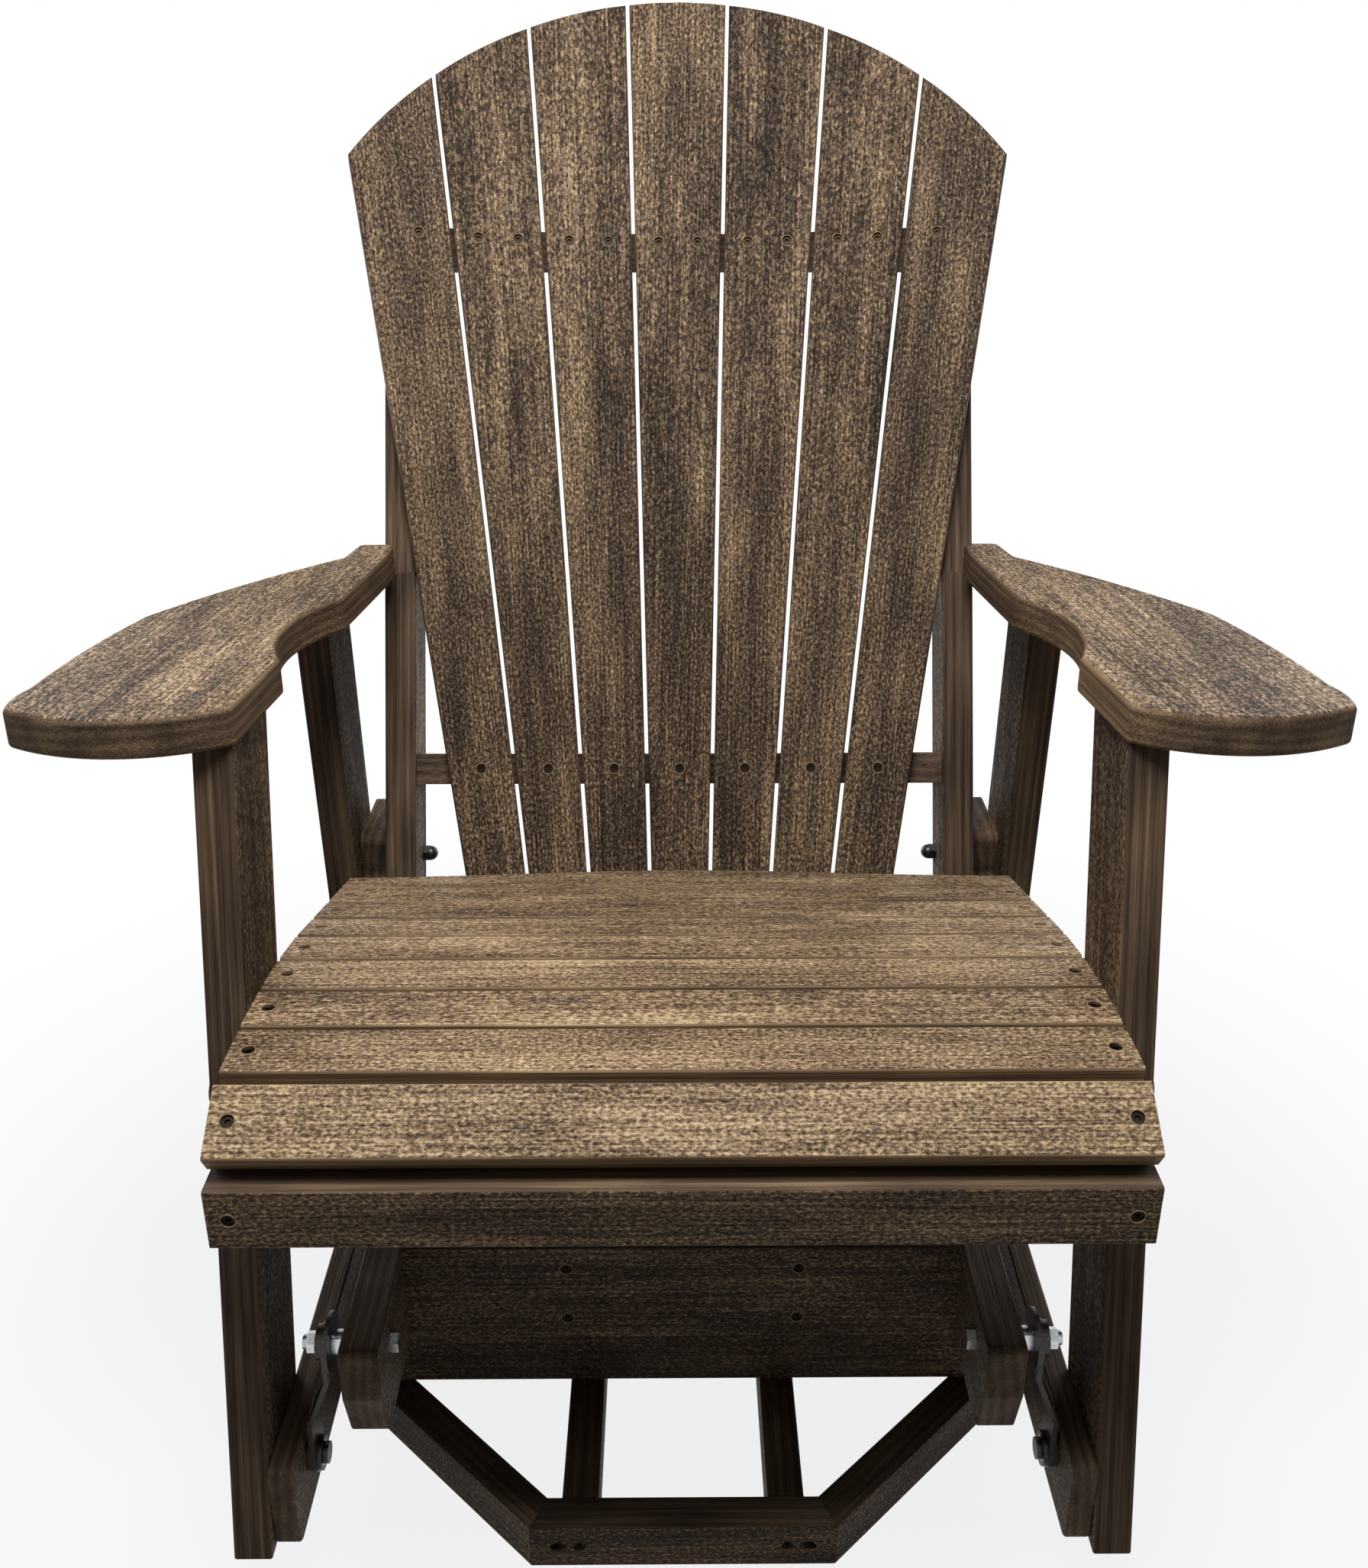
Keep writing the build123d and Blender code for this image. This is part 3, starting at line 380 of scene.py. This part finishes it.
# Top of a screw's or bolt's head, the way it faces and the whole length
def headOf(points):
    middle = (points.max(0) + points.min(0)) / 2
    offsets = points - points.mean(0)
    axis = np.linalg.eigh(offsets.T @ offsets)[1][:, -1]
    along = (points - middle) @ axis
    spread = np.linalg.norm(points - middle - np.outer(along, axis), axis=1)
    low, high = along.min(), along.max()
    third = (high - low) / 3
    if spread[along < low + third].max() > spread[along > high - third].max():
        axis, low, high, along = -axis, -high, -low, -along
    centre = points - np.outer(along, axis)
    centre = (centre.max(0) + centre.min(0)) / 2
    return Vector(centre + high * axis), Vector(axis), high - low


# A mesh of bare points, each with the way it faces, run through a node group and kept as plain mesh
def nodePiece(name, group, places, body, values):
    mesh = bpy.data.meshes.new(name)
    mesh.from_pydata([tuple(place) for place, facing in places], [], [])
    attribute = mesh.attributes.new("facing", "FLOAT_VECTOR", "POINT")
    attribute.data.foreach_set("vector", [value for place, facing in places for value in facing])
    source = bpy.data.objects.new(name + "Points", mesh)
    bpy.context.scene.collection.objects.link(source)
    modifier = source.modifiers.new("nodes", "NODES")
    modifier.node_group = group
    for item in group.interface.items_tree:
        if item.item_type == "SOCKET" and item.in_out == "INPUT" and item.name in values:
            modifier[item.identifier] = values[item.name]
    depsgraph = bpy.context.evaluated_depsgraph_get()
    result = bpy.data.meshes.new_from_object(source.evaluated_get(depsgraph), depsgraph=depsgraph)
    bpy.data.objects.remove(source)
    piece = bpy.data.objects.new(name, result)
    bpy.context.scene.collection.objects.link(piece)
    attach(piece, body)


# Node group that sets one coil or ring on every point, turned the way the point faces
def coilGroup(name, material, coil, roundSteps, beadSteps):
    group = bpy.data.node_groups.new(name, "GeometryNodeTree")
    group.interface.new_socket("Geometry", in_out="INPUT", socket_type="NodeSocketGeometry")
    for label in ("Radius", "Bead", "Turns", "Height"):
        group.interface.new_socket(label, in_out="INPUT", socket_type="NodeSocketFloat")
    group.interface.new_socket("Geometry", in_out="OUTPUT", socket_type="NodeSocketGeometry")
    points, radius, bead, turns, height = list(group.nodes.new("NodeGroupInput").outputs)[:5]
    if coil:
        path = addNode(group, "GeometryNodeCurveSpiral", {
            "Resolution": roundSteps, "Rotations": turns, "Start Radius": radius,
            "End Radius": radius, "Height": height})
    else:
        path = addNode(group, "GeometryNodeCurvePrimitiveCircle", {
            "Resolution": roundSteps, "Radius": radius})
    profile = addNode(group, "GeometryNodeCurvePrimitiveCircle", {
        "Resolution": beadSteps, "Radius": bead})
    tube = addNode(group, "GeometryNodeCurveToMesh", {
        "Curve": path.outputs[0], "Profile Curve": profile.outputs[0], "Fill Caps": coil})
    facing = addNode(group, "GeometryNodeInputNamedAttribute", {
        "Name": "facing"}, data_type="FLOAT_VECTOR")
    turned = addNode(group, "FunctionNodeAlignRotationToVector", {
        "Vector": facing.outputs[0]}, axis="Z")
    placed = addNode(group, "GeometryNodeInstanceOnPoints", {
        "Points": points, "Instance": tube.outputs[0], "Rotation": turned.outputs[0]})
    real = addNode(group, "GeometryNodeRealizeInstances", {0: placed.outputs[0]})
    painted = addNode(group, "GeometryNodeSetMaterial", {
        "Geometry": real.outputs[0], "Material": material})
    smooth = addNode(group, "GeometryNodeSetShadeSmooth", {0: painted.outputs[0]})
    ending = group.nodes.new("NodeGroupOutput")
    group.links.new(smooth.outputs[0], ending.inputs[0])
    return group


# Raised burr that each recessed screw pushed up round its hole, rougher than the face and painted
# paler as a highlight on the hole's rim
screwBurr = {
    "sink": 0.002,  # from a head's top out to the burr
    "sizes": {"Radius": 0.0050, "Bead": 0.00035},
    "roundSteps": 24,
    "beadSteps": 6,
    # Pale burr colours: a painted highlight on each hole's rim
    "colours": [(0.35, "6B5440"), (0.65, "9C8263")],
    "speckleScale": 700.0,
    "roughness": 0.6,
}
burrHighlightMaterial = newMaterial("lumberBurrHighlight")
tree = burrHighlightMaterial.node_tree
coordinates = addNode(tree, "ShaderNodeTexCoord")
speckle = addNode(tree, "ShaderNodeTexNoise", {
    "Vector": coordinates.outputs["Object"], "Scale": screwBurr["speckleScale"],
    "Detail": 3.0}).outputs[0]
color = addNode(tree, "ShaderNodeValToRGB", {0: speckle}, stops=screwBurr["colours"])
shader = addNode(tree, "ShaderNodeBsdfPrincipled", {
    "Base Color": color.outputs[0], "Roughness": screwBurr["roughness"]})
addNode(tree, "ShaderNodeOutputMaterial", {0: shader.outputs[0]})

burrs = coilGroup(
    "ScrewBurr", burrHighlightMaterial, False, screwBurr["roundSteps"], screwBurr["beadSteps"])
for name, body in (("deck_screws", "chair"), ("frame_screws", "glide_frame")):
    heads = [headOf(points) for points in solidsOf(name)]
    places = [(top + facing * screwBurr["sink"], facing) for top, facing, length in heads]
    pieceName = name.split("_")[0] + "ScrewBurrs"
    nodePiece(pieceName, burrs, places, body, screwBurr["sizes"])

# Thread on the free end of each pivot bolt
boltThread = {
    "inset": 0.0002,  # how far the coil starts inside the bolt's end
    "longShare": 0.9,  # solids shorter than this share of the longest are nuts, not bolts
    "sizes": {"Radius": 0.0049, "Bead": 0.00045, "Turns": 2.2, "Height": 0.0028},
    "roundSteps": 24,
    "beadSteps": 6,
}
threads = coilGroup("BoltThread", zinc, True, boltThread["roundSteps"], boltThread["beadSteps"])
for name, body in (("upper_pivot_bolts", "glide_frame"), ("lower_pivot_bolts", "chair")):
    bolts = [headOf(points) for points in solidsOf(name)]
    least = boltThread["longShare"] * max(length for top, facing, length in bolts)
    places = [
        (top - facing * (length - boltThread["inset"]), facing)
        for top, facing, length in bolts if length > least
    ]
    pieceName = name.split("_")[0] + "BoltThreads"
    nodePiece(pieceName, threads, places, body, boltThread["sizes"])
print("fastener details ready")


# Floor, world and lamps. A lamp has its place, the point it shines at, its size and its watts.
stage = {
    "floorColor": "B4B3B1",
    "floorSize": 60.0,
    "shadowReach": (0.4, 1.1),
    "shadowShare": 0.15,
    "worldColor": "FFFFFF",
    "worldStrength": 0.075,
    "lamps": [
        ("keyLamp", (-0.08, -0.55, 2.0), (0, -0.2, 0.5), 0.6, 36),
        ("rearLampLeft", (-1.7, 1.6, 0.9), (0, 0.1, 0.5), 1.2, 24),
        ("rearLampRight", (1.7, 1.6, 0.9), (0, 0.1, 0.5), 1.2, 24),
    ],
}
white = (1, 1, 1, 1)
floorMesh = bpy.data.meshes.new("floor")
half = stage["floorSize"] / 2
corners = [(-half, -half, 0), (half, -half, 0), (half, half, 0), (-half, half, 0)]
floorMesh.from_pydata(corners, [], [(0, 1, 2, 3)])
floor = bpy.data.objects.new("floor", floorMesh)
bpy.context.scene.collection.objects.link(floor)


# Share of rays that look straight, through glass or by reflection, and so see plain white
def seenShare(tree):
    path = addNode(tree, "ShaderNodeLightPath")
    seen = addNode(tree, "ShaderNodeMath", {
        0: path.outputs["Is Camera Ray"], 1: path.outputs["Is Glossy Ray"]}, operation="MAXIMUM")
    return addNode(tree, "ShaderNodeMath", {
        0: seen.outputs[0], 1: path.outputs["Is Transmission Ray"]}, operation="MAXIMUM").outputs[0]


# Pale floor that shows the chair's shadow near it and is white farther out
floorMaterial = newMaterial("paleFloor")
tree = floorMaterial.node_tree
coordinates = addNode(tree, "ShaderNodeTexCoord")
distance = addNode(tree, "ShaderNodeVectorMath", {
    0: coordinates.outputs["Object"]}, operation="LENGTH")
near, far = stage["shadowReach"]
whiteness = addNode(tree, "ShaderNodeMapRange", {
    0: distance.outputs[1], 1: near, 2: far, 3: 1 - stage["shadowShare"], 4: 1.0},
    interpolation_type="SMOOTHSTEP")
share = addNode(tree, "ShaderNodeMath", {
    0: seenShare(tree), 1: whiteness.outputs[0]}, operation="MULTIPLY")
shade = addNode(tree, "ShaderNodeBsdfDiffuse", {0: linearRgb(stage["floorColor"])})
glow = addNode(tree, "ShaderNodeEmission", {0: white, 1: 1.0})
mixed = addNode(tree, "ShaderNodeMixShader", {
    0: share.outputs[0], 1: shade.outputs[0], 2: glow.outputs[0]})
addNode(tree, "ShaderNodeOutputMaterial", {0: mixed.outputs[0]})
floorMesh.materials.append(floorMaterial)

# World that lights the chair softly and is plain white to look at
world = bpy.data.worlds.new("studio")
bpy.context.scene.world = world
world.use_nodes = True
tree = world.node_tree
tree.nodes.clear()
around = addNode(tree, "ShaderNodeBackground", {
    0: linearRgb(stage["worldColor"]), 1: stage["worldStrength"]})
backdrop = addNode(tree, "ShaderNodeBackground", {0: white, 1: 1.0})
mixed = addNode(tree, "ShaderNodeMixShader", {
    0: seenShare(tree), 1: around.outputs[0], 2: backdrop.outputs[0]})
addNode(tree, "ShaderNodeOutputWorld", {0: mixed.outputs[0]})

for name, place, target, size, power in stage["lamps"]:
    light = bpy.data.lights.new(name, "AREA")
    light.size = size
    light.energy = power
    lamp = bpy.data.objects.new(name, light)
    bpy.context.scene.collection.objects.link(lamp)
    lamp.location = place
    lamp.rotation_euler = (Vector(place) - Vector(target)).to_track_quat("Z", "Y").to_euler()

# Camera at the photograph's eye point, in metres from the swivel axis, degrees and millimetres
cameraPlace = {
    "sideways": -0.0055,
    "inFront": 1.1061,
    "height": 1.030,
    "pitch": 24.06,
    "yaw": -0.42,
    "lens": 34.70,
    "sensor": 36,
}
cameraData = bpy.data.cameras.new("camera")
cameraData.sensor_width = cameraPlace["sensor"]
cameraData.lens = cameraPlace["lens"]
camera = bpy.data.objects.new("camera", cameraData)
bpy.context.scene.collection.objects.link(camera)
camera.location = (
    cameraPlace["sideways"], swivel.y - cameraPlace["inFront"], cameraPlace["height"])
camera.rotation_euler = (
    math.radians(90 - cameraPlace["pitch"]), 0, math.radians(cameraPlace["yaw"]))
bpy.context.scene.camera = camera
bpy.context.scene.view_settings.view_transform = "Standard"
print("stage ready")
